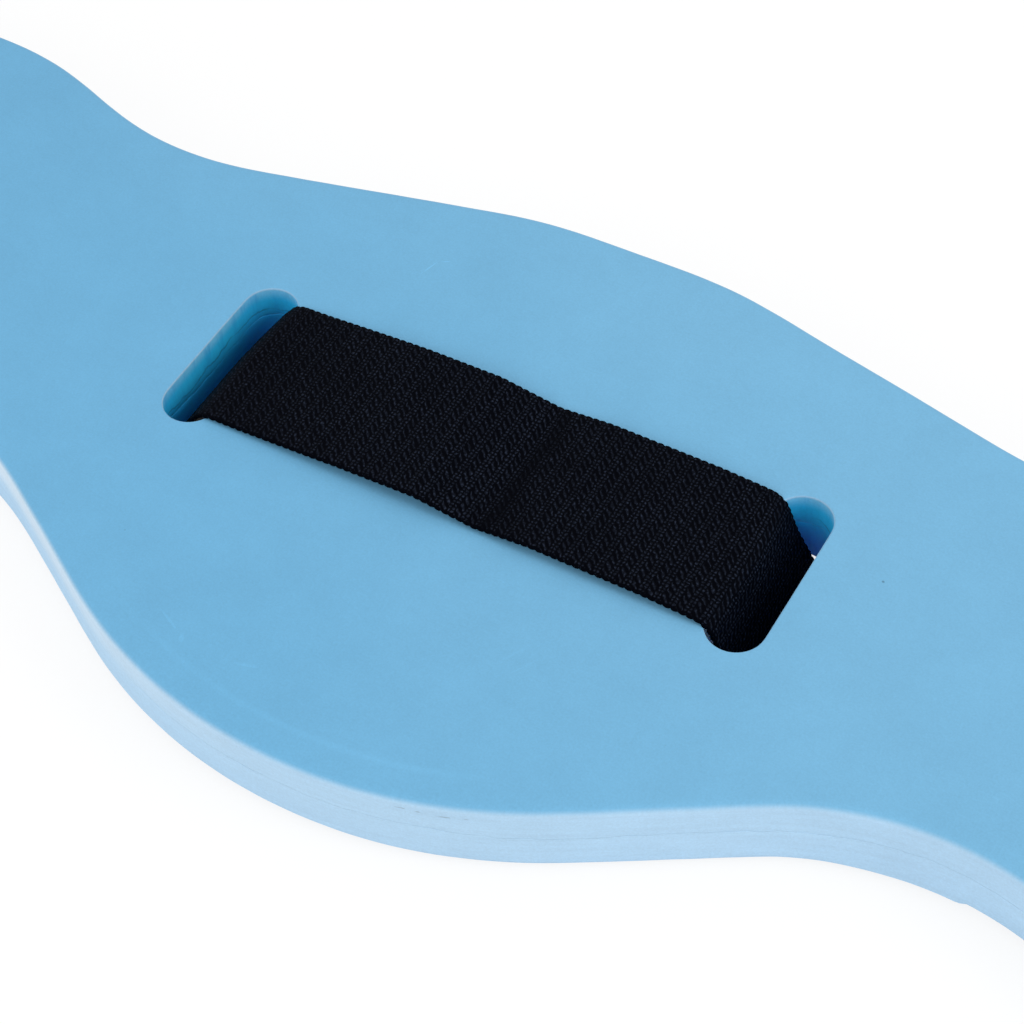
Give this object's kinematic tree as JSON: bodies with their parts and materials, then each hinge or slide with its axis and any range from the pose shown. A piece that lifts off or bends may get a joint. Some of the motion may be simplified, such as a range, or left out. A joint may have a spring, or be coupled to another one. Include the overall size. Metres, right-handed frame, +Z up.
{
  "type": "flotation belt",
  "caption": "Lobed foam waist float with a wide webbing strap laced through end and centre slots, closed by a side-release buckle.",
  "frame": {"origin": "midway between the two centre slots, on the surface that the belt lies on", "axes": "+X along the belt towards the prong end, +Y across it towards the ribs, +Z up out of its outer face"},
  "size_m": [1.1365, 0.2054, 0.0306],
  "materials": {
    "foam": "matte closed-cell foam with a fine-grained skin",
    "webbing": "dense woven black webbing",
    "buckle": "fine-textured moulded plastic"
  },
  "bodies": {
    "belt": {"foam_outer_ply": "foam", "foam_inner_ply": "foam", "webbing_strap": "webbing", "buckle_frame": "buckle"},
    "prong_left": {"buckle_prong_left": "buckle"},
    "prong_right": {"buckle_prong_right": "buckle"},
    "socket": {"buckle_socket": "buckle"},
    "keeper": {"strap_keeper": "buckle"}
  },
  "joints": [
    {"name": "left_prong_flex", "type": "hinge", "parent": "belt", "child": "prong_left", "pos_m": [0.5486, -0.0234, 0.0065], "axis": [0, 0, 1], "range_deg": [0, 11], "stiffness_Nm_per_rad": 0.5},
    {"name": "right_prong_flex", "type": "hinge", "parent": "belt", "child": "prong_right", "pos_m": [0.5486, 0.0234, 0.0065], "axis": [0, 0, -1], "range_deg": [0, 11], "stiffness_Nm_per_rad": 0.5},
    {"name": "socket_swing", "type": "hinge", "parent": "belt", "child": "socket", "pos_m": [-0.5, 0, 0.0065], "axis": [0, 1, 0], "range_deg": [0, 75]},
    {"name": "keeper_slide", "type": "slide", "parent": "belt", "child": "keeper", "axis": [1, 0, 0], "range_m": [-0.03, 0.036]}
  ]
}
